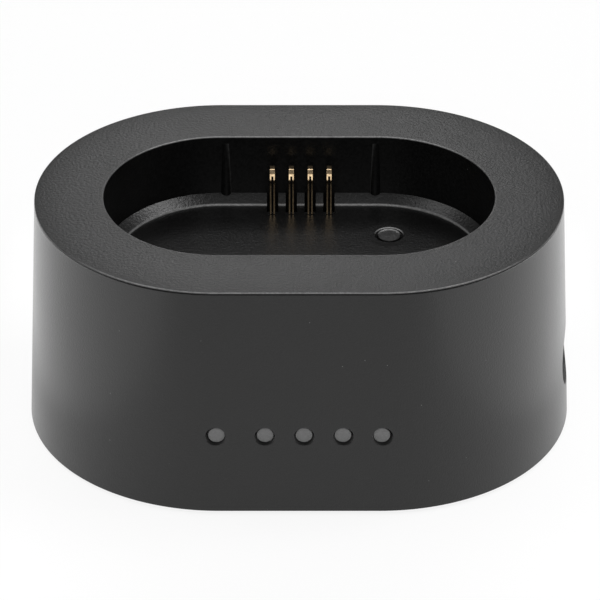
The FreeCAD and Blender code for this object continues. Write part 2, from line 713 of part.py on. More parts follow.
# Power socket: a moulded block with a stepped bore, hung under the board behind the inlet hole
dc_jack = body("dc_jack")
jack_line = rectangle(
    dc_jack, "jack_outline", "YZ_Plane", "jack_width", "jack_axis_drop + jack_below",
    x="-inlet_offset", y=f"{AXIS_Z} + (jack_axis_drop - jack_below) / 2", rise=JACK_BACK,
)
feature(dc_jack, "Pad", "jack", jack_line, Length="jack_long")
on_axis = {"x": "-inlet_offset", "y": AXIS_Z}
entry = circles(dc_jack, "entry_outline", "YZ_Plane", "jack_entry_bore", rise=JACK_FRONT, **on_axis)
feature(dc_jack, "Pocket", "entry", entry, Length="jack_entry")
sleeve = circles(dc_jack, "sleeve_outline", "YZ_Plane", "jack_bore", rise=JACK_FRONT, **on_axis)
feature(dc_jack, "Pocket", "sleeve", sleeve, Length="jack_bore_depth")
pin_hole = circles(
    dc_jack, "pin_hole_outline", "YZ_Plane", "pin_size + 2 * contact_gap", rise=JACK_BACK, **on_axis
)
feature(dc_jack, "Pocket", "pin_hole", pin_hole, True, Length="jack_long - jack_bore_depth")
SPRING_TOP = f"({AXIS_Z} - jack_bore / 2)"
SPRING_LOW = f"({SPRING_TOP} - spring_thick)"
spring_slot = rectangle(
    dc_jack, "spring_slot_outline", "YZ_Plane",
    "spring_wide + 2 * spring_gap", "spring_thick + 3 * spring_gap",
    x="-inlet_offset", y=f"({SPRING_LOW} + {SPRING_TOP} + spring_gap) / 2", rise=JACK_BACK,
)
slot_long = "jack_long - spring_setback + spring_gap"
feature(dc_jack, "Pocket", "spring_slot", spring_slot, True, Length=slot_long)

# Centre pin of the socket, with its solder tab behind the block
TAB_BACK = f"({JACK_BACK} - contact_gap - tab_thick)"
along_x = ((0, 1, 0), 90)
forward = ((1, 0, 0), 90)
pin_shank = rod(
    "pin_shank", "pin_size", f"{JACK_FRONT} - pin_setback - {TAB_BACK}",
    (TAB_BACK, "-inlet_offset", AXIS_Z), along_x,
)
pin_tab = block(
    "pin_tab", ("tab_thick", "tab_wide", f"{BOARD_UNDER} - {AXIS_Z}"),
    (TAB_BACK, "-inlet_offset - tab_wide / 2", AXIS_Z),
)
node(join("pin_joined", [pin_shank, pin_tab]), "jack_pin")

# Sleeve spring: a strip in the floor of the bore with a raised bump, turned up behind the block
strip = block(
    "spring_strip", (f"{JACK_FRONT} - spring_setback - {TAB_BACK}", "spring_wide", "spring_thick"),
    (TAB_BACK, "-inlet_offset - spring_wide / 2", SPRING_LOW),
)
bump = rod(
    "spring_bump_rod", "spring_bump", "spring_wide / 2",
    (f"{JACK_FRONT} - spring_setback - spring_bump", "-inlet_offset + spring_wide / 4", SPRING_TOP), forward,
)
riser_low = "-inlet_offset - jack_width / 2"
cross = block(
    "spring_cross_bar", ("tab_thick", "jack_width / 2 + spring_wide / 2", "spring_cross"),
    (TAB_BACK, riser_low, SPRING_LOW),
)
riser = block(
    "spring_riser", ("tab_thick", "riser_wide", f"{BOARD_UNDER} - {SPRING_LOW}"),
    (TAB_BACK, riser_low, SPRING_LOW),
)
node(join("spring_joined", [strip, bump, cross, riser]), "jack_spring")


def hung(name, sizes, x, y, drop="0"):
    """A box hanging under the board, centred on x and y, its top a given drop below the board."""
    long, wide, tall = sizes
    return block(name, sizes, (f"{x} - {long} / 2", f"{y} - {wide} / 2", f"{BOARD_UNDER} - {drop} - {tall}"))


# Converter components, all soldered to the board's underside
inductor = body("inductor")
coil_line = rectangle(
    inductor, "inductor_outline", "XY_Plane", "inductor_side", "inductor_side",
    x="inductor_x", y="inductor_y", rise=f"{BOARD_UNDER} - inductor_tall",
)
coil = feature(inductor, "Pad", "inductor_block", coil_line, Length="inductor_tall")
dress(inductor, "Chamfer", "inductor_corners", coil, upright, Size="inductor_corner")
for label, size, tall, x, y in (
    ("capacitor_1", "can_large", "can_large_tall", "can_large_x", "0"),
    ("capacitor_2", "can_small", "can_small_tall", "can_small_x", "can_small_y"),
):
    node(rod(f"{label}_can", size, tall, (x, y, f"{BOARD_UNDER} - {tall}")), label)

chip = [hung("chip_body", ("chip_long", "chip_wide", "chip_tall"), "chip_x", "chip_y", "lead_sheet")]
for index in range(8):
    lead_x = f"(chip_x + ({index} - 3.5) * chip_lead_pitch)"
    chip.append(hung(f"chip_lead_{index}", ("chip_lead", "chip_span", "lead_sheet"), lead_x, "chip_y"))
node(join("chip_joined", chip), "controller_chip")

case = ("transistor_wide", "transistor_long", "transistor_tall")
transistor = [hung("transistor_case", case, "transistor_x", "transistor_y", "lead_sheet")]
heat_tab = ("transistor_wide", "(transistor_long + transistor_tab)", "lead_sheet")
heat_tab_y = "(transistor_y + transistor_tab / 2)"
transistor.append(hung("transistor_heat_tab", heat_tab, "transistor_x", heat_tab_y))
for hand in (-1, 1):
    lead_x = f"(transistor_x + {hand} * (transistor_wide / 2 - transistor_lead))"
    lead = ("transistor_lead", "(transistor_long / 2 + transistor_tab)", "lead_sheet")
    lead_y = "(transistor_y - transistor_long / 4 - transistor_tab / 2)"
    transistor.append(hung(f"transistor_lead_{hand + 1}", lead, lead_x, lead_y))
node(join("transistor_joined", transistor), "power_transistor")

diode = [
    hung("diode_case", ("diode_long", "diode_wide", "diode_tall"), "diode_x", "diode_y", "lead_sheet"),
    hung("diode_leads", ("diode_span", "diode_lead", "lead_sheet"), "diode_x", "diode_y"),
]
node(join("diode_joined", diode), "rectifier_diode")

cap_side = "(fuse_side + 2 * fuse_cap_proud)"
fuse = [hung("fuse_tube", ("fuse_long", "fuse_side", "fuse_side"), "fuse_x", "fuse_y", "fuse_cap_proud")]
for hand in (-1, 1):
    cap_x = f"(fuse_x + {hand} * (fuse_long - fuse_cap) / 2)"
    fuse.append(hung(f"fuse_cap_{hand + 1}", ("fuse_cap", cap_side, cap_side), cap_x, "fuse_y"))
node(join("fuse_joined", fuse), "fuse")

chips = [
    hung(f"resistor_{index}", ("resistor_wide", "resistor_long", "resistor_tall"), pin_x, "resistor_y")
    for index, pin_x in enumerate(PINS, 1)
]
resistors = doc.addObject("Part::Compound", "led_resistor_set")
resistors.Links = chips
node(resistors, "led_resistors")

# Indicator lamps: packages with a terminal at each end, over the arms of the light guide
lamp_y = f"(guide_arm_reach - guide_bar_height / 2 - {BAR_FRONT})"
for index, pin_x in enumerate(PINS, 1):
    package = hung(f"led_package_{index}", ("led_wide", "led_long", "led_tall"), pin_x, lamp_y)
    terminals = hung(f"led_terminals_{index}", ("led_terminal", "led_span", "led_tall / 2"), pin_x, lamp_y)
    node(join(f"led_joined_{index}", [package, terminals]), f"led_{index}")

# Solve, test every object and write each piece
doc.recompute()
for thing in doc.Objects:
    if {"Invalid", "Error"} & set(thing.State):
        raise RuntimeError(f"{thing.Label} did not solve: {thing.State}")
    if thing.TypeId in ("PartDesign::Pocket", "PartDesign::SubtractiveLoft"):
        if thing.Shape.Volume > thing.BaseFeature.Shape.Volume - 1e-3:
            raise RuntimeError(f"{thing.Label} cuts nothing")
for piece in nodes:
    if piece.Shape.isNull() or not piece.Shape.isValid():
        raise RuntimeError(f"{piece.Label} has no valid shape")
os.makedirs("parts", exist_ok=True)
for piece in nodes:
    piece.Shape.exportStep(f"parts/{piece.Label}.step")
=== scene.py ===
"""Looks of a desk charger for a camera flash battery, dressed round its solid parts.

Lengths are in millimetres up to the point where a mesh is made. The charger stands on z = 0, its
indicators face -Y and its power inlet opens towards +X.
"""
import json
import math
import bmesh
import bpy
import numpy as np
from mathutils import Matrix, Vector, geometry


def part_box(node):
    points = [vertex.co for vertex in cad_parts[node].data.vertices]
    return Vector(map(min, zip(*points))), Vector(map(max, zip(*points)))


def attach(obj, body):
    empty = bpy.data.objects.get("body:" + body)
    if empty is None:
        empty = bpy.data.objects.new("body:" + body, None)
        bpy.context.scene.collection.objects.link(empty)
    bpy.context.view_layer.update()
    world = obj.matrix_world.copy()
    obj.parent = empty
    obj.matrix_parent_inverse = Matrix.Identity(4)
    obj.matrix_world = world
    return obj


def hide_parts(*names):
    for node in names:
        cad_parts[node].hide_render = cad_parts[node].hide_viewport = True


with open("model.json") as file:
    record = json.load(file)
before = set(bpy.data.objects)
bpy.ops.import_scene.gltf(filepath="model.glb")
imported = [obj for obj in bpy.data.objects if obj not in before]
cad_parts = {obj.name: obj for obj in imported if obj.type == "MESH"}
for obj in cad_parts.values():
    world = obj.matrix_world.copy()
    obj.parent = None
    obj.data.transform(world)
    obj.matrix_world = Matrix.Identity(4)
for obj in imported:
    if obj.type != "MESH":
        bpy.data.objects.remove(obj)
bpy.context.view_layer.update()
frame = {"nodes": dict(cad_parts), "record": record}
MM = 0.001


# Housing: the tapered oval skirt that forms all the sides. It is injection moulded in black ABS with a
# fine spark-eroded skin, has five round windows for the indicators and one hole for the power plug, and
# is clamped between the top cover and the base cover.
def limits(name):
    """Lowest and highest corner of a solid, in millimetres."""
    return np.array(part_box(name)) / MM


housing_low, housing_high = limits("housing")
cover_high = limits("top_cover")[1]
base_high = limits("base_cover")[1]
SKIRT = housing_low[2]
SEAM = housing_high[2]
FOOT_RADIUS = housing_high[1]
RIM_RADIUS = cover_high[1]
HALF = housing_high[0] - housing_high[1]
TURN = math.pi * FOOT_RADIUS
TAPER = (FOOT_RADIUS - RIM_RADIUS) / (SEAM - SKIRT)
WALL = 2.2
FIT = 0.15
SEAM_GAP = 0.2
SEAM_DEPTH = 0.7
SEAM_EASE = 0.12
# painted highlight on the seam's edge: none along the sides, strong round the ends
SEAM_HIGHLIGHT = (0.0, 0.8)
REBATE_RADIUS = base_high[1] + FIT
FOOT_INSET = 0.6
FOOT_EASE = 0.15
INNER_EASE = 0.1
WINDOWS = (-12.75, -5.25, 0.75, 6.75, 12.75)
WINDOW_RISE = 13.95
WINDOW_RADIUS = 1.55
WINDOW_EASE = 0.06
WINDOW_FRAME = 2.7
WINDOW_CELLS = 12
INLET_ACROSS = -2.0
INLET_RISE = 11.6
INLET_RADIUS = 5.2
INLET_EASE = 0.2
INLET_FRAME = 6.8
INLET_CELLS = 18
LOWEST_LEVEL = 4.0
HIGHEST_LEVELS = (22.0, 28.0, 33.0)
ROWS_BELOW = 12
ROWS_BESIDE = 12
ROWS_ABOVE = 3
WELD = 0.002
SMOOTH_ANGLE = math.radians(30)


def oval(t):
    """Middle x and outward normal at a distance t along an oval of straight sides and round ends.

    t is 0 at the middle of the front and runs both ways to the middle of the back; an end takes the
    foot radius times its angle.
    """
    reach, side = np.abs(t), np.sign(t)
    angle = np.clip(reach - HALF, 0, TURN) / FOOT_RADIUS
    middle = side * (np.minimum(reach, HALF) - np.clip(reach - HALF - TURN, 0, HALF))
    return middle, side * np.sin(angle), -np.cos(angle)


def ringed(t, radius, height):
    """Points at a radius from the oval's middle line and at a height, all given as arrays."""
    middle, along, across = oval(t)
    return np.stack(np.broadcast_arrays(middle + radius * along, radius * across, height), -1)


def oval_lines(frames, side_lines=7, end_lines=97, clear=0.05):
    """Places along the oval for a grid's columns: even steps on each half side and, close together, round
    each end, and even steps across each frame (start, end, cells), with no other line near it."""
    straight, bent = np.linspace(0, HALF, side_lines), np.linspace(0, TURN, end_lines)
    half = np.concatenate([straight, HALF + bent[1:], HALF + TURN + straight[1:]])
    lines = np.concatenate([-half[1:-1], half])
    for start, end, cells in frames:
        lines = lines[(lines < start - clear) | (lines > end + clear)]
        lines = np.concatenate([lines, np.linspace(start, end, cells + 1)])
    return np.sort(lines)


def line_at(lines, *places, hair=1e-6):
    """Numbers of the lines that lie at the given places, to within a hair."""
    return np.searchsorted(lines, np.array(places) - hair)


def softened(corners, steps=6, guard=0.05):
    """A profile with its corners (a, b, ease) rounded: each becomes a quadratic curve that starts and
    ends at the ease from it, with a guard point just outside, so that flat faces stay flat."""
    places, eases = np.split(np.array(corners, float), [2], axis=1)
    points = [places[:1]]
    s = np.linspace(0, 1, steps + 1)[:, None]
    for before, corner, after, ease in zip(places[:-2], places[1:-1], places[2:], eases[1:-1, 0]):
        if ease == 0:
            points.append([corner])
            continue
        back, ahead = before - corner, after - corner
        back, ahead = back / np.linalg.norm(back), ahead / np.linalg.norm(ahead)
        start, end = corner + ease * back, corner + ease * ahead
        curve = (1 - s) ** 2 * start + 2 * s * (1 - s) * corner + s ** 2 * end
        points += [[start + guard * back], curve, [end + guard * ahead]]
    points.append(places[-1:])
    return np.concatenate(points)


def grid_faces(rows, columns, rows_close=False):
    """Quads of a grid of points numbered row by row. Each row is a closed loop, and the last row may be
    joined to the first."""
    row = np.arange(rows if rows_close else rows - 1)[:, None]
    column = np.arange(columns)[None, :]
    next_row, next_column = (row + 1) % rows, (column + 1) % columns
    corners = [row * columns + column, row * columns + next_column]
    corners += [next_row * columns + next_column, next_row * columns + column]
    return np.stack(np.broadcast_arrays(*corners), -1)


def oval_highlight(points, edges, width=0.75, foot=0.1, side_from=0.6, side_blend=0.3):
    """How much painted highlight each point takes from oval edges (radius, height, ease, (sides, ends)).

    A bell stands on each edge: e to the minus square of the distance over a share of the ease, less a small
    foot, so that it ends. Its height is the first value along the sides and the second round the ends, after
    where each edge catches the light.
    """
    x, y, z = points.T
    radius = np.hypot(np.maximum(np.abs(x) - HALF, 0), y)
    # painted highlight: edges facing front and back take the sides' share, those round the ends the ends'
    # share
    facing = np.clip((np.abs(y) / np.maximum(radius, 1) - side_from) / side_blend, 0, 1)
    painted_highlight = np.zeros(len(points))
    for at, height, ease, (sides, ends) in edges:
        square = ((radius - at) ** 2 + (z - height) ** 2) / (width * ease) ** 2
        bell = np.clip((np.exp(-square) - foot) / (1 - foot), 0, 1)
        painted_highlight = np.maximum(painted_highlight, bell * (ends + (sides - ends) * facing))
    return painted_highlight


def dress(name, parts, material, slot, *nodes, painted_highlight=None):
    """One piece from parts (points, faces) in millimetres: welded, turned outwards, shaded smooth up to
    the smooth angle, riding on the charger and standing for the given solids."""
    points, faces, count = [], [], 0
    for part_points, part_faces in parts:
        part_points = np.reshape(part_points, (-1, 3))
        part_faces = np.reshape(part_faces, (-1, np.shape(part_faces)[-1]))
        points.append(part_points)
        faces += (part_faces + count).tolist()
        count += len(part_points)
    points = np.concatenate(points)
    mesh = bpy.data.meshes.new(name)
    mesh.from_pydata(points * MM, [], faces)
    # the painted highlight, where given, is kept on the points as an attribute
    if painted_highlight:
        mesh.attributes.new("painted_highlight", "FLOAT", "POINT").data.foreach_set("value", painted_highlight(points))
    edit = bmesh.new()
    edit.from_mesh(mesh)
    bmesh.ops.remove_doubles(edit, verts=edit.verts, dist=WELD * MM)
    bmesh.ops.recalc_face_normals(edit, faces=edit.faces)
    edit.to_mesh(mesh)
    edit.free()
    mesh.shade_smooth()
    mesh.set_sharp_from_angle(angle=SMOOTH_ANGLE)
    mesh.materials.append(material)
    made = bpy.data.objects.new(name, mesh)
    bpy.context.scene.collection.objects.link(made)
    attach(made, "root")
    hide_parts(*nodes)
    return made


def wire(tree, made, inputs):
    """Sets the inputs of a node, given as values or as other nodes' outputs."""
    for label, source in inputs.items():
        if isinstance(source, bpy.types.NodeSocket):
            tree.links.new(source, made.inputs[label])
        else:
            made.inputs[label].default_value = source


def node(tree, kind, inputs=None, **settings):
    """A new shader node with its settings and inputs."""
    made = tree.nodes.new(f"ShaderNode{kind}")
    for label, value in settings.items():
        setattr(made, label, value)
    wire(tree, made, inputs or {})
    return made


def effect(name, inputs, outputs):
    """An empty node group with named value sockets, and its two end nodes."""
    tree = bpy.data.node_groups.new(name, "ShaderNodeTree")
    for label, value in inputs.items():
        socket = tree.interface.new_socket(label, in_out="INPUT", socket_type="NodeSocketFloat")
        socket.default_value = value
    for label in outputs:
        tree.interface.new_socket(label, in_out="OUTPUT", socket_type="NodeSocketFloat")
    return tree, tree.nodes.new("NodeGroupInput"), tree.nodes.new("NodeGroupOutput")


# the skin that a spark-eroded mould leaves: fine pits, soft patches that are a little more polished, and
# the few specks of dust that settle on it, each at the middle of a cell of a Voronoi pattern
PITS = 3800
PATCHES = 90
DUST_CELLS = 450
SPECK_EDGE = 0.045
SPECK_CORE = 0.02
SPECK_RARITY = 0.68
moulded_skin, skin_in, skin_out = effect(
    "moulded_skin", {"Pits": PITS, "Patches": PATCHES, "Cells": DUST_CELLS}, ("Pits", "Patches", "Dust"),
)
skin_place = node(moulded_skin, "TexCoord").outputs["Object"]
scales = skin_in.outputs
pits = node(moulded_skin, "TexNoise", {"Vector": skin_place, "Scale": scales["Pits"], "Detail": 2.0})
patches = node(moulded_skin, "TexNoise", {"Vector": skin_place, "Scale": scales["Patches"], "Detail": 3.0})
dust_cells = node(moulded_skin, "TexVoronoi", {"Vector": skin_place, "Scale": scales["Cells"]}).outputs
speck = node(moulded_skin, "MapRange", {
    "Value": dust_cells["Distance"], "From Min": SPECK_EDGE, "From Max": SPECK_CORE,
})
chosen = node(moulded_skin, "Math", {0: dust_cells["Color"], 1: SPECK_RARITY}, operation="GREATER_THAN")
dust = node(moulded_skin, "Math", {0: speck.outputs["Result"], 1: chosen.outputs[0]}, operation="MULTIPLY")
wire(moulded_skin, skin_out, {
    "Pits": pits.outputs["Fac"], "Patches": patches.outputs["Fac"], "Dust": dust.outputs[0],
})


def grey(level):
    """A neutral colour."""
    return (level,) * 3


DUST_COLOUR = grey(0.12)


def moulded_plastic(name, colour, pale, roughness, depth, highlight_colour=None, pits=PITS, sockets=None):
    """Plastic with the skin of its mould: pits of a given scale turn its colour paler and dent it by depth,
    patches shift its gloss, edges with a painted highlight take the highlight colour, unevenly, and dust lies
    on it. Sockets are what else its shader is set to."""
    material = bpy.data.materials.new(name)
    material.use_nodes = True
    tree = material.node_tree
    principled = tree.nodes["Principled BSDF"]
    wire(tree, principled, sockets or {})
    skin = node(tree, "Group", {"Pits": pits}, node_tree=moulded_skin).outputs
    spread = {"Value": skin["Pits"], "From Min": 0.3, "From Max": 0.7}
    grain = node(tree, "MapRange", spread).outputs[0]
    tint = node(tree, "MixRGB", {"Fac": grain, "Color1": (*colour, 1), "Color2": (*pale, 1)}).outputs[0]
    # painted highlight: a point attribute says how strongly each edge is lit, and there the colour turns,
    # unevenly, towards the highlight colour
    painted_highlight = node(tree, "Attribute", attribute_name="painted_highlight").outputs["Fac"]
    uneven = node(tree, "MapRange", {**spread, "To Min": 0.75, "To Max": 1.25}).outputs[0]
    highlight_share = node(tree, "Math", {0: painted_highlight, 1: uneven}, operation="MULTIPLY", use_clamp=True).outputs[0]
    highlit = node(tree, "MixRGB", {"Fac": highlight_share, "Color1": tint, "Color2": (*(highlight_colour or pale), 1)}).outputs[0]
    dusty = node(tree, "MixRGB", {"Fac": skin["Dust"], "Color1": highlit, "Color2": (*DUST_COLOUR, 1)})
    gloss = node(tree, "MapRange", {"Value": skin["Patches"], "To Min": roughness[0], "To Max": roughness[1]})
    bump = node(tree, "Bump", {"Height": skin["Pits"], "Strength": 0.8, "Distance": depth * MM})
    wire(tree, principled, {
        "Base Color": dusty.outputs[0], "Roughness": gloss.outputs["Result"],
        "Normal": bump.outputs["Normal"],
    })
    return material


# grey 0.35 is the colour of the painted highlights on its edges
case_plastic = moulded_plastic(
    "black_case_plastic", colour=grey(0.0), pale=grey(0.002), highlight_colour=grey(0.35), roughness=(0.35, 0.28),
    depth=0.035, sockets={"IOR": 1.42, "Sheen Weight": 0.15, "Sheen Roughness": 0.58},
)


def skirt_radius(height):
    """Radius of the skirt's outer face, which leans in evenly from foot to seam."""
    return FOOT_RADIUS - (height - SKIRT) * TAPER


def front_place(across, height, inset):
    """Distance along the oval of front points at x = across."""
    beyond = np.clip((np.abs(across) - HALF) / (skirt_radius(height) - inset), 0, 1)
    return np.sign(across) * (np.minimum(np.abs(across), HALF) + FOOT_RADIUS * np.arcsin(beyond))


def end_place(across, height, inset):
    """Distance along the oval of right-hand points at y = across."""
    return HALF + FOOT_RADIUS * np.arccos(-across / (skirt_radius(height) - inset))


# each hole: how its points find their place, its centre across and up, its radius and eased edge, and the
# reach and the cells of the square frame that it is cut from
holes = [
    (front_place, across, WINDOW_RISE, WINDOW_RADIUS, WINDOW_EASE, WINDOW_FRAME, WINDOW_CELLS)
    for across in WINDOWS
]
holes.append((end_place, INLET_ACROSS, INLET_RISE, INLET_RADIUS, INLET_EASE, INLET_FRAME, INLET_CELLS))
hole_centres = [float(place(across, rise, 0)) for place, across, rise, *_ in holes]
hole_frames = [(at - reach, at + reach, cells) for at, (*_, reach, cells) in zip(hole_centres, holes)]
lines = oval_lines(hole_frames)
# heights of the wall's grid, with rows along the edges of all frames: below, beside and above the windows
levels = np.concatenate([
    [LOWEST_LEVEL],
    np.linspace(INLET_RISE - INLET_FRAME, WINDOW_RISE - WINDOW_FRAME, ROWS_BELOW, endpoint=False),
    np.linspace(WINDOW_RISE - WINDOW_FRAME, WINDOW_RISE + WINDOW_FRAME, ROWS_BESIDE, endpoint=False),
    np.linspace(WINDOW_RISE + WINDOW_FRAME, INLET_RISE + INLET_FRAME, ROWS_ABOVE + 1),
    HIGHEST_LEVELS,
])
foot_edge = softened([
    (FOOT_INSET, SKIRT, 0), (0, SKIRT, FOOT_EASE), (0, levels[0], 0),
])
seam_edge = softened([
    (0, levels[-1], 0), (0, SEAM - SEAM_GAP, SEAM_EASE), (SEAM_DEPTH, SEAM - SEAM_GAP, 0),
    (SEAM_DEPTH, SEAM, 0), (WALL, SEAM, INNER_EASE), (WALL, levels[-1], 0),
])
rebate_edge = softened([
    (WALL, levels[0], 0), (WALL, base_high[2], 0),
    (skirt_radius(base_high[2]) - REBATE_RADIUS, base_high[2], 0),
    (FOOT_RADIUS - REBATE_RADIUS, SKIRT, INNER_EASE), (FOOT_INSET, SKIRT, 0),
])
outer_face = np.stack([np.zeros_like(levels), levels], -1)
inner_face = outer_face + (WALL, 0)
rows = np.concatenate([
    foot_edge[:-1], outer_face[:-1], seam_edge[:-1], inner_face[:0:-1], rebate_edge[:-1],
])
first_outer = len(foot_edge) - 1
last_inner = first_outer + len(seam_edge) - 1 + 2 * (len(levels) - 1)
skirt = ringed(lines[None, :], skirt_radius(rows[:, 1:]) - rows[:, :1], rows[:, 1:])
skirt_faces = grid_faces(len(rows), len(lines), rows_close=True)
kept = np.ones(skirt_faces.shape[:2], bool)
ease_turns = np.radians((22, 45, 68, 90))
housing_parts = []
for at, (place, across, rise, radius, ease, reach, _) in zip(hole_centres, holes):
    left, right = line_at(lines, at - reach, at + reach)
    low, high = line_at(levels, rise - reach, rise + reach)
    kept[first_outer + low:first_outer + high, left:right] = False
    kept[last_inner - high:last_inner - low, left:right] = False
    wide, tall = right - left, high - low
    loop_t = np.concatenate([
        lines[left:right], np.full(tall, lines[right]), lines[right:left:-1], np.full(tall, lines[left]),
    ])
    loop_z = np.concatenate([
        np.full(wide, levels[low]), levels[low:high], np.full(wide, levels[high]), levels[high:low:-1],
    ])
    angle = np.arctan2(loop_z - rise, loop_t - at)
    # share of the way out to the frame, extra radius and depth into the wall, station by station
    stations = [(share, ease, 0) for share in (1, 0.6, 0.3, 0.1, 0)]
    stations += [(0, ease * (1 - math.sin(turn)), ease * (1 - math.cos(turn))) for turn in ease_turns]
    stations += [(share, 0, WALL) for share in (0, 0.3, 1)]
    share, extra, depth = np.array(stations).T[..., None]
    v = rise + (radius + extra) * np.sin(angle)
    t = place(across + (radius + extra) * np.cos(angle), v, depth)
    t, v = t + share * (loop_t - t), v + share * (loop_z - v)
    housing_parts.append((ringed(t, skirt_radius(v) - depth, v), grid_faces(*t.shape)))
housing_parts.append((skirt, skirt_faces[kept]))
# the seam's edge takes a painted highlight round the ends
seam_line = (skirt_radius(SEAM - SEAM_GAP), SEAM - SEAM_GAP, SEAM_EASE, SEAM_HIGHLIGHT)
dress(
    "housing_skirt", housing_parts, case_plastic, "case_plastic", "housing",
    painted_highlight=lambda points: oval_highlight(points, [seam_line]),
)


# Light guide: one clear moulding, frosted grey, with five round pins that end just inside the windows.
# It sits behind the front wall, and its arms lead the light of the lamps on the board into the pins.
# Shrinkage in the mould leaves the pins a little closer together than the windows.
guide_low, guide_high = limits("light_guide")
PIN_RADIUS = 1.3
PIN_EASE = 0.12
PIN_ROOT = 0.2
GUIDE_SHRINK = 0.987
BAR_HEIGHT = 3.2
BAR_THICK = 1.5
ARM_REACH = 6.5


def turned(profile, centre, axis, columns=64):
    """A profile of (radius, along) turned about a line through the centre, along axis 0, 1 or 2."""
    angle = np.linspace(0, 2 * math.pi, columns, endpoint=False)
    radius, along = np.array(profile, float).T[..., None]
    points = np.empty((len(profile), columns, 3))
    points[..., (axis + 1) % 3] = centre[(axis + 1) % 3] + radius * np.cos(angle)
    points[..., (axis + 2) % 3] = centre[(axis + 2) % 3] + radius * np.sin(angle)
    points[..., axis] = centre[axis] + along
    return points, grid_faces(len(profile), columns)


def prism(outline, start, end):
    """A flat outline of (y, z) drawn out along x and capped at both ends."""
    count = len(outline)
    points = np.empty((2, count, 3))
    points[..., 0] = [[start], [end]]
    points[..., 1:] = outline
    return [(points, grid_faces(2, count)), (points[0], [range(count)]), (points[1], [range(count)])]


guide_plastic = moulded_plastic(
    "frosted_guide", colour=grey(0.115), pale=grey(0.14), roughness=(0.5, 0.4), depth=0.01,
)
arm_back, arm_top = guide_high[1:]
arm_front = arm_back - BAR_HEIGHT
bar_front = arm_back - ARM_REACH
bar_back = bar_front + BAR_THICK
bar_low, bar_high = WINDOW_RISE - BAR_HEIGHT / 2, WINDOW_RISE + BAR_HEIGHT / 2
bar = [(bar_front, bar_low), (bar_back, bar_low), (bar_back, bar_high), (bar_front, bar_high)]
arm = [(bar_front, bar_low), (arm_front, bar_low), (arm_back, bar_high), (arm_back, arm_top)]
arm += [(arm_front, arm_top), (arm_front, bar_high), (bar_front, bar_high)]
guide_parts = prism(bar, guide_low[0], guide_high[0])
pin_long = bar_front - guide_low[1] + PIN_ROOT
pin_profile = softened([
    (0, 0, 0), (PIN_RADIUS, 0, PIN_EASE), (PIN_RADIUS, pin_long, 0), (0, pin_long, 0),
])
for across in WINDOWS:
    pin_x = across * GUIDE_SHRINK
    guide_parts.append(turned(pin_profile, (pin_x, guide_low[1], WINDOW_RISE), 1))
    guide_parts += prism(arm, pin_x - PIN_RADIUS, pin_x + PIN_RADIUS)
dress("indicator_guide", guide_parts, guide_plastic, "guide_plastic", "light_guide")


# Contacts: four blades of plated strip, folded double over the top with a rounded nose towards the
# battery. Their tails pass through the carrier and are soldered into the board.
LEAF = 0.28
NOSE = 2.0
NOSE_STEPS = 8
BRIDGE = 0.75
TAIL_DEPTH = 1.2
STRIP_EASE = 0.04
STRIP_ANGLE = math.radians(40)
board_top = limits("main_board")[1][2]


def folded_blade(low, high):
    """A side outline, square at the back and with a quarter circle for its nose, drawn out over four
    stations across: both leaves take all of it, the bridge between them only what lies above its height."""
    middle_y, bridge_low = (low[1] + high[1]) / 2, high[2] - BRIDGE
    cut = math.acos(1 - BRIDGE / NOSE)
    lower, upper = np.linspace(math.pi / 2, cut, NOSE_STEPS), np.linspace(cut, 0, NOSE_STEPS + 1)
    angle = np.concatenate([lower, upper[1:]])
    nose = np.stack([low[1] + NOSE - NOSE * np.sin(angle), high[2] - NOSE + NOSE * np.cos(angle)], -1)
    tail = [(middle_y + TAIL_DEPTH / 2, board_top), (middle_y + TAIL_DEPTH / 2, low[2])]
    tail += [(middle_y - TAIL_DEPTH / 2, low[2]), (middle_y - TAIL_DEPTH / 2, board_top)]
    back = [(high[1], high[2]), (high[1], bridge_low), (high[1], board_top)]
    outline = np.concatenate([nose, back, tail, [(low[1], board_top)]])
    count, first, last = len(outline), NOSE_STEPS - 1, len(nose) + 1
    across = np.array([low[0], low[0] + LEAF, high[0] - LEAF, high[0]])
    points = np.empty((4, count, 3))
    points[..., 0] = across[:, None]
    points[..., 1:] = outline
    strips = grid_faces(4, count)
    under = np.concatenate([np.arange(last, count), np.arange(first + 1)])
    floor_of_bridge = [[count + first, 2 * count + first, 2 * count + last, count + last]]
    return [
        (points, strips[0]), (points, strips[2]), (points, strips[1, first:last]), (points, floor_of_bridge),
        (points, [np.arange(count)]), (points, [np.arange(count) + 3 * count]),
        (points, [under + count]), (points, [under + 2 * count]),
    ]


# the streaks that rolling leaves along a metal strip, drawn out upwards, and the dull marks of handling
STREAKS = 900
STREAK_STRETCH = (1.0, 1.0, 0.03)
MARKS = 2200
rolled_metal, rolled_in, rolled_out = effect("rolled_metal", {"Streaks": STREAKS}, ("Streaks", "Marks"))
metal_place = node(rolled_metal, "TexCoord").outputs["Object"]
stretched = node(rolled_metal, "VectorMath", {0: metal_place, 1: STREAK_STRETCH}, operation="MULTIPLY")
streak_inputs = {"Vector": stretched.outputs[0], "Scale": rolled_in.outputs["Streaks"]}
streaks = node(rolled_metal, "TexNoise", streak_inputs)
marks = node(rolled_metal, "TexNoise", {"Vector": metal_place, "Scale": MARKS, "Detail": 3.0})
wire(rolled_metal, rolled_out, {"Streaks": streaks.outputs["Fac"], "Marks": marks.outputs["Fac"]})


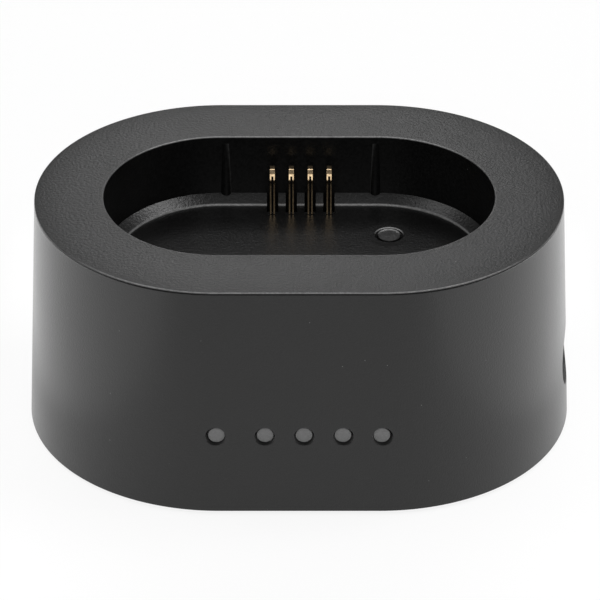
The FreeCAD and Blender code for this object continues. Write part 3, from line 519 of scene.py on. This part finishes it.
def plated_metal(name, colour, dull, roughness):
    """Bare or plated metal: marks dull its colour, and streaks vary its gloss and ridge it slightly."""
    material = bpy.data.materials.new(name)
    material.use_nodes = True
    tree = material.node_tree
    skin = node(tree, "Group", node_tree=rolled_metal).outputs
    tint = node(tree, "MixRGB", {"Fac": skin["Marks"], "Color1": (*colour, 1), "Color2": (*dull, 1)})
    gloss = node(tree, "MapRange", {"Value": skin["Streaks"], "To Min": roughness[0], "To Max": roughness[1]})
    bump = node(tree, "Bump", {"Height": skin["Streaks"], "Strength": 0.15, "Distance": 0.01 * MM})
    wire(tree, tree.nodes["Principled BSDF"], {
        "Metallic": 1.0, "Base Color": tint.outputs["Color"], "Roughness": gloss.outputs["Result"],
        "Normal": bump.outputs["Normal"],
    })
    return material


contact_brass = plated_metal(
    "gold_plated_brass", colour=(0.74, 0.57, 0.36), dull=(0.13, 0.08, 0.04), roughness=(0.1, 0.18),
)
contacts = [name for name in sorted(frame["nodes"]) if name.startswith("contact_") and name[-1].isdigit()]
for name in contacts:
    blade_low, blade_high = limits(name)
    blade_parts = folded_blade(blade_low, blade_high)
    blade = dress(f"blade_{name[-1]}", blade_parts, contact_brass, "contact_brass", name)
    rolled_edges = blade.modifiers.new("rolled_edges", "BEVEL")
    rolled_edges.width = STRIP_EASE * MM
    rolled_edges.segments = 2
    rolled_edges.limit_method = "ANGLE"
    rolled_edges.angle_limit = STRIP_ANGLE


# Top cover: rim, plate and battery bay in one moulding of the same black ABS with a slightly coarser skin.
# A sloped ledge with a low lip carries the battery, two slim ribs guide it and four slots let the contact
# blades through. It plugs into the housing, and its rim lies on the housing's edge.
RIM_WIDTH = 10.72
BAY_DEPTH = 11.7
LEDGE_DEPTH = 10.3
LEDGE_WIDTH = 1.9
CUP_WALL = 1.8
PLATE_THICK = 2.2
TOP = cover_high[2]
BAY = RIM_RADIUS - RIM_WIDTH
FLOOR = TOP - BAY_DEPTH
FLOOR_UNDER = FLOOR - CUP_WALL
LEDGE = TOP - LEDGE_DEPTH
FLOOR_RADIUS = BAY - LEDGE_WIDTH
CUP_RADIUS = BAY + CUP_WALL
PLUG_RADIUS = RIM_RADIUS - WALL - FIT
PLUG_EASE = 0.2
PLATE_UNDER = TOP - PLATE_THICK
CROWN = 0.18
BAY_EASE = 0.22
# the pairs of shares below set painted highlights along the bay's edge, the rim's edge and the lip, along the
# sides and round the ends
BAY_HIGHLIGHT = (0.8, 0.3)
RIM_EASE = 0.2
RIM_HIGHLIGHT = (0.6, 0.1)
LIP = 0.25
LIP_EASE = 0.3
LIP_HIGHLIGHT = (0.6, 0.6)
SLOT_WIDTH = 1.8
SLOT_FRONT = limits(contacts[-1])[0][1] - FIT
BAY_SHIFT = 0.25
RIB_ACROSS = 11.9
RIB_RADIUS = 1.0
RIB_SINK = 0.5
RIB_FOOT = FLOOR - 0.9
RIB_TOP = TOP - 1.3
RIB_TOP_PROUD = 0.12
# painted highlight along the ribs' inner line, its strength, width and lowest height
RIB_HIGHLIGHT = 0.1
RIB_HIGHLIGHT_WIDTH = 0.1
RIB_HIGHLIGHT_FOOT = LEDGE + 0.2
MARK = (14.2, 7.4)
MARK_RADIUS = 2.4
MARK_CHAMFER = 0.2
CHAMFER_DROP = 0.1
MARK_EASE = 0.08
SINK_WIDTH = 1.5
SINK_DEPTH = 0.05
GROOVE_DRAFT = 0.05
GROOVE_DEPTH = 0.5
DISC_RADIUS = 1.9
DISC_EDGE = DISC_RADIUS - 0.1
DISC_EDGE_DROP = 0.05
DISC_DISH = DISC_RADIUS - 0.4
DISC_DISH_DROP = 0.2
DISC_EASE = 0.1
# the mark: its disc a little paler all over, and painted highlights of the given width on the far side of its
# two rings
DISC_LIFT = 0.08
DISC_RING_RADIUS = DISC_RADIUS - 0.2
MARK_HIGHLIGHT_WIDTH = 0.13


def flat_fill(outline, holes, height):
    """A level face inside an outline and outside its holes, by constrained Delaunay triangles."""
    loops = [np.asarray(loop)[:, :2] for loop in (outline, *holes)]
    starts = np.cumsum([0] + [len(loop) for loop in loops])
    rings = [list(range(start, end)) for start, end in zip(starts[:-1], starts[1:])]
    points, _, faces, *_ = geometry.delaunay_2d_cdt(np.concatenate(loops).tolist(), [], rings, 2, 1e-5)
    return np.insert(np.array(points), 2, height, axis=1), faces


# grey 0.35 is the colour of the painted highlights on its edges
cover_plastic = moulded_plastic(
    "black_cover_plastic", colour=grey(0.0), pale=grey(0.004), highlight_colour=grey(0.35), roughness=(0.35, 0.28),
    depth=0.06, pits=2300, sockets={"IOR": 1.45},
)
back_middle = 2 * HALF + TURN
slot_frames = []
for name in contacts:
    across = limits(name)[:, 0].mean()
    slot_sides = np.array([across + SLOT_WIDTH / 2, across - SLOT_WIDTH / 2])
    slot_frames.append((*(math.copysign(back_middle, across) - slot_sides), 1))
cover_lines = oval_lines(slot_frames)
seat = softened([
    (FLOOR_RADIUS, FLOOR, 0), (FLOOR_RADIUS, FLOOR + LIP, LIP_EASE), (BAY, LEDGE, 0),
])
# the rim's top falls by the crown, with the fifth power of the way from the bay to the outer edge
crown_shares = np.array((0.06, 0.3, 0.5, 0.65, 0.8, 0.9, 0.96))
crown = np.stack([BAY + crown_shares * RIM_WIDTH, TOP - CROWN * crown_shares ** 5, 0 * crown_shares], -1)
rim_top = TOP - CROWN
shell = softened([
    (BAY, LEDGE, 0), (BAY, TOP, BAY_EASE), *crown, (RIM_RADIUS, rim_top, RIM_EASE),
    (RIM_RADIUS, SEAM, 0), (PLUG_RADIUS, SEAM, 0), (PLUG_RADIUS, PLATE_UNDER, PLUG_EASE),
    (CUP_RADIUS, PLATE_UNDER, 0), (CUP_RADIUS, FLOOR_UNDER, 0),
])
cover_rows = np.concatenate([seat[:-1], shell])
cover = ringed(cover_lines[None, :], cover_rows[:, :1], cover_rows[:, 1:])
cover_faces = grid_faces(len(cover_rows), len(cover_lines))
cover_kept = np.ones(cover_faces.shape[:2], bool)
floor_edge, slot_holes, cover_parts = cover[0], [], []
for start, *_ in sorted(slot_frames, reverse=True):
    column = line_at(cover_lines, start)[0]
    cover_kept[:len(seat) - 1, column] = False
    side, other = cover[:len(seat), column], cover[:len(seat), column + 1]
    slot_front = np.array([[side[0, 0], SLOT_FRONT, FLOOR], [other[0, 0], SLOT_FRONT, FLOOR]])
    floor_edge = np.insert(floor_edge, column + 1, slot_front, axis=0)
    mouth = np.concatenate([side[::-1], slot_front, other])
    foot = mouth * (1, 1, 0) + (0, 0, FLOOR_UNDER)
    cover_parts.append((np.stack([mouth, foot]), grid_faces(2, len(mouth))))
    slot_holes.append(foot)
# the floor sinks towards the mark by the squared cosine of the way, and then come a chamfer, a groove and
# a disc with a raised edge
sink_shares = np.linspace(0.95, 0.05, 10)
sink_drops = SINK_DEPTH * np.cos(sink_shares * math.pi / 2) ** 2
sink = np.stack([MARK_RADIUS + SINK_WIDTH * sink_shares, -sink_drops, 0 * sink_shares], -1)
groove_radius = MARK_RADIUS - MARK_CHAMFER - GROOVE_DRAFT
mark_profile = softened([
    (MARK_RADIUS + SINK_WIDTH, 0, 0), *sink, (MARK_RADIUS, -SINK_DEPTH, 0),
    (MARK_RADIUS - MARK_CHAMFER, -CHAMFER_DROP, MARK_EASE), (groove_radius, -GROOVE_DEPTH, MARK_EASE),
    (DISC_RADIUS + GROOVE_DRAFT, -GROOVE_DEPTH, MARK_EASE), (DISC_EDGE, -DISC_EDGE_DROP, MARK_EASE),
    (DISC_DISH, -DISC_DISH_DROP, DISC_EASE), (0, -DISC_DISH_DROP, 0),
])
mark, mark_faces = turned(mark_profile, (*MARK, FLOOR), 2)
cover_parts += [
    (cover, cover_faces[cover_kept]), flat_fill(floor_edge, [mark[0]], FLOOR),
    flat_fill(cover[-1], slot_holes, FLOOR_UNDER), (mark, mark_faces),
]
rib_heights = np.linspace(RIB_FOOT, RIB_TOP, 9)
rib_profile = [(0, RIB_FOOT), *((RIB_RADIUS, height) for height in rib_heights), (0, RIB_TOP)]
rib_lean = RIB_RADIUS - RIB_SINK - RIB_TOP_PROUD
for across in (BAY_SHIFT - RIB_ACROSS, BAY_SHIFT + RIB_ACROSS):
    rib, rib_faces = turned(rib_profile, (across, BAY + RIB_SINK, 0), 2, 48)
    rib[..., 1] += rib_lean * np.clip((rib[..., 2] - FLOOR) / (RIB_TOP - FLOOR), 0, 1)
    cover_parts.append((rib, rib_faces))
# edges that take a painted highlight
highlit_edges = [
    (BAY, TOP, BAY_EASE, BAY_HIGHLIGHT), (RIM_RADIUS, rim_top, RIM_EASE, RIM_HIGHLIGHT),
    (FLOOR_RADIUS, FLOOR + LIP, LIP_EASE, LIP_HIGHLIGHT),
]


def cover_highlight(points, band=0.6, hair=0.01):
    """How much painted highlight each point takes: the oval edges all round, of the mark the far side of two
    rings and, a little, its disc, which turns paler all over, and of the ribs the inner line where they leave
    the wall. The mark's points lie within a band of the floor's height, and the ribs' within a band of the
    wall."""
    x, y, z = points.T
    reach = np.hypot(x - MARK[0], y - MARK[1])
    ring_radius = np.array([[MARK_RADIUS - MARK_CHAMFER], [DISC_RING_RADIUS]])
    square = (reach - ring_radius) ** 2 + (z - FLOOR + CHAMFER_DROP) ** 2
    rings = np.max(np.exp(-square / MARK_HIGHLIGHT_WIDTH ** 2), axis=0)
    # painted highlight on the mark's rings: only on their far side, which faces the front and catches the
    # light
    far_side = np.clip((y - MARK[1]) / MARK_RADIUS, 0, 1)
    in_mark = (reach < MARK_RADIUS - 2 * hair) & (np.abs(z - FLOOR) < band)
    mark_highlight = np.maximum(rings * far_side, DISC_LIFT * (reach < DISC_RING_RADIUS))
    painted_highlight = np.where(in_mark, mark_highlight, oval_highlight(points, highlit_edges) * (z > FLOOR + hair))
    # painted highlight along the ribs' inner line where they leave the wall
    in_rib = (z > RIB_HIGHLIGHT_FOOT) & (z < RIB_TOP + hair) & (np.abs(y - BAY) < band)
    inner = np.abs(x - BAY_SHIFT) < RIB_ACROSS
    return np.where(in_rib & inner, RIB_HIGHLIGHT * np.exp(-((y - BAY) / RIB_HIGHLIGHT_WIDTH) ** 2), painted_highlight)


# the top cover takes its painted highlights on edges, mark and ribs
dress("bay_cover", cover_parts, cover_plastic, "case_plastic", "top_cover", painted_highlight=cover_highlight)


# Base screws: four zinc-plated self-tapping screws with countersunk heads and a cross recess. They go up
# through the base cover into the bosses of the top cover and clamp the housing between the two.
HEAD_RADIUS = 2.5
HEAD_FLAT = 2.2
HEAD_EASE = 0.12
SHANK_RADIUS = 1.3
SHANK_EASE = 0.15
POINT_RADIUS = 0.5
POINT_EASE = 0.1
RECESS_REACH = 1.5
RECESS_WIDTH = 0.62
RECESS_DEPTH = 0.9
RECESS_TAPER = 0.55
QUARTERS = np.array([(-1, -1), (1, -1), (1, 1), (-1, 1)])
screw_low, screw_high = limits("base_screws")
screw_long = screw_high[2] - screw_low[2]
head_face, recess_floor = screw_low[2], screw_low[2] + RECESS_DEPTH


def cross(reach, width):
    """Outline of a plus sign, one arm of three corners turned by quarters about its middle."""
    arm = np.array([(reach, -width / 2), (reach, width / 2), (width / 2, width / 2)])
    quarter = np.array([(0, 1), (-1, 0)])
    return np.concatenate([arm @ np.linalg.matrix_power(quarter, turns) for turns in range(4)])


screw_steel = plated_metal(
    "zinc_plated_steel", colour=(0.6, 0.6, 0.62), dull=(0.4, 0.4, 0.41), roughness=(0.3, 0.45),
)
screw_profile = softened([
    (HEAD_FLAT, 0, 0), (HEAD_RADIUS, 0, HEAD_EASE), (SHANK_RADIUS, HEAD_RADIUS - SHANK_RADIUS, SHANK_EASE),
    (SHANK_RADIUS, screw_long - SHANK_RADIUS, SHANK_EASE), (POINT_RADIUS, screw_long, POINT_EASE),
    (0, screw_long, 0),
])
recess_outline = cross(RECESS_REACH, RECESS_WIDTH)
screw_parts = []
for quarter in QUARTERS:
    centre = quarter * (screw_high[:2] - HEAD_RADIUS)
    screw, screw_faces = turned(screw_profile, (*centre, head_face), 2)
    mouth = np.insert(centre + recess_outline, 2, head_face, axis=1)
    foot = np.insert(centre + recess_outline * RECESS_TAPER, 2, recess_floor, axis=1)
    screw_parts += [
        (screw, screw_faces), flat_fill(screw[0], [mouth], head_face),
        (np.stack([mouth, foot]), grid_faces(2, len(mouth))), flat_fill(foot, [], recess_floor),
    ]
dress("cross_head_screws", screw_parts, screw_steel, "screw_steel", "base_screws")


# Pieces whose solids are shown as they are: base cover, feet, board and its screws, socket and the parts
# on the board. Every solid takes the finish that its slot in the record names.
finishes = {
    "case_plastic": case_plastic,
    "foot_rubber": moulded_plastic(
        "foot_rubber", colour=grey(0.012), pale=grey(0.02), roughness=(0.85, 0.75), depth=0.03,
    ),
    "screw_steel": screw_steel,
    "board_laminate": moulded_plastic(
        "solder_mask", colour=(0.01, 0.09, 0.03), pale=(0.015, 0.12, 0.045), roughness=(0.3, 0.4), depth=0.01,
    ),
    "part_plastic": moulded_plastic(
        "component_plastic", colour=grey(0.02), pale=grey(0.028), roughness=(0.5, 0.4), depth=0.015,
    ),
    "contact_brass": contact_brass,
    "lamp_plastic": moulded_plastic(
        "lamp_package", colour=(0.7, 0.7, 0.64), pale=(0.78, 0.78, 0.72), roughness=(0.35, 0.28), depth=0.005,
    ),
    "can_aluminium": plated_metal(
        "drawn_aluminium", colour=(0.75, 0.75, 0.77), dull=(0.6, 0.6, 0.62), roughness=(0.25, 0.4),
    ),
    "fuse_ceramic": moulded_plastic(
        "fuse_ceramic", colour=(0.7, 0.67, 0.6), pale=(0.78, 0.75, 0.68), roughness=(0.3, 0.25), depth=0.005,
    ),
    "guide_plastic": guide_plastic,
}
for subpart in frame["record"]["subparts"]:
    solid = frame["nodes"][subpart["node"]]
    solid.data.materials.clear()
    solid.data.materials.append(finishes[subpart["material_slot"]])


# Studio: a white sheet of paper under a tall soft box in front, two boxes overhead at the left and right,
# a panel and a wide box behind, and a dim white card low beside each end.
FLOOR_SIDE = 6000
FLOOR_DROP = 0.02
PAPER_COLOUR = grey(0.9)
PAPER_ROUGHNESS = 0.9
PAPER_GLOW = 0.85
SKY_STRENGTH = 0.35
CARD_PLACE = 50
CARD_ACROSS = -10
CARD_RISE = 20.5


def backdrop_share(tree):
    """1 for rays that show the background: those of the camera, of gloss and of clear material."""
    path = node(tree, "LightPath").outputs
    seen = node(tree, "Math", {0: path["Is Camera Ray"], 1: path["Is Glossy Ray"]}, operation="MAXIMUM")
    seen_or_clear = {0: seen.outputs[0], 1: path["Is Transmission Ray"]}
    return node(tree, "Math", seen_or_clear, operation="MAXIMUM").outputs[0]


floor_points = np.insert(QUARTERS * FLOOR_SIDE / 2, 2, -FLOOR_DROP, axis=1) * MM
floor_mesh = bpy.data.meshes.new("paper_floor")
floor_mesh.from_pydata(floor_points, [], [(0, 1, 2, 3)])
floor = bpy.data.objects.new("paper_floor", floor_mesh)
bpy.context.scene.collection.objects.link(floor)
paper = bpy.data.materials.new("white_paper")
paper.use_nodes = True
paper_tree = paper.node_tree
sheet = paper_tree.nodes["Principled BSDF"]
wire(paper_tree, sheet, {"Base Color": (*PAPER_COLOUR, 1), "Roughness": PAPER_ROUGHNESS})
glow = node(paper_tree, "Emission", {"Strength": 1.0})
lift = node(paper_tree, "Math", {0: backdrop_share(paper_tree), 1: PAPER_GLOW}, operation="MULTIPLY")
lit = node(paper_tree, "MixShader", {0: lift.outputs[0], 1: sheet.outputs[0], 2: glow.outputs[0]})
wire(paper_tree, paper_tree.nodes["Material Output"], {"Surface": lit.outputs[0]})
floor_mesh.materials.append(paper)

world = bpy.data.worlds.new("studio")
bpy.context.scene.world = world
world.use_nodes = True
sky = world.node_tree.nodes["Background"]
wire(world.node_tree, sky, {"Color": (1, 1, 1, 1), "Strength": SKY_STRENGTH})


def soft_box(name, place, aim, size, radiance):
    """A rectangular light at a place in millimetres, turned to its aim, of an even radiance."""
    light = bpy.data.lights.new(name, "AREA")
    light.shape = "RECTANGLE"
    light.size, light.size_y = size[0] * MM, size[1] * MM
    light.energy = radiance * math.pi * light.size * light.size_y
    made = bpy.data.objects.new(name, light)
    made.location = Vector(place) * MM
    made.rotation_euler = (Vector(aim) - Vector(place)).to_track_quat("-Z", "Y").to_euler()
    bpy.context.scene.collection.objects.link(made)


soft_box("front_box", place=(0, -640, 660), aim=(0, 0, 20), size=(600, 900), radiance=1.7)
soft_box("right_box", place=(420, 60, 780), aim=(0, 0, 20), size=(330, 330), radiance=7.0)
soft_box("left_box", place=(-420, 60, 780), aim=(0, 0, 20), size=(330, 330), radiance=2.8)
soft_box("back_panel", place=(-8, 760, 490), aim=(0, 0, 40), size=(190, 120), radiance=3.5)
soft_box("back_box", place=(0, 560, 800), aim=(0, 0, 30), size=(760, 240), radiance=2.9)
for card_x in (-CARD_PLACE, CARD_PLACE):
    card_place, card_aim = (card_x, CARD_ACROSS, CARD_RISE), (0, CARD_ACROSS, CARD_RISE)
    soft_box("side_card", place=card_place, aim=card_aim, size=(130, 35), radiance=0.55)


# Camera: a long lens about two thirds of a metre away, above the front and aimed at half the charger's
# height. The focal length and the slight sideways shift are in pixels of a square picture.
PITCH = math.radians(31.96)
DISTANCE = 655.6
PICTURE_SIDE = 600
FOCAL_PIXELS = 4165
SHIFT_PIXELS = 0.82
SENSOR_WIDTH = 36
NEAREST = 10
camera_data = bpy.data.cameras.new("camera")
camera_data.sensor_width = SENSOR_WIDTH
camera_data.lens = SENSOR_WIDTH * FOCAL_PIXELS / PICTURE_SIDE
camera_data.shift_x = SHIFT_PIXELS / PICTURE_SIDE
camera_data.clip_start = NEAREST * MM
camera = bpy.data.objects.new("camera", camera_data)
aim_height = (SKIRT + TOP) / 2
camera_height = aim_height + DISTANCE * math.sin(PITCH)
camera.location = Vector((0, -DISTANCE * math.cos(PITCH), camera_height)) * MM
camera.rotation_euler = (math.pi / 2 - PITCH, 0, 0)
bpy.context.scene.collection.objects.link(camera)
bpy.context.scene.camera = camera
bpy.context.scene.view_settings.view_transform = "Standard"
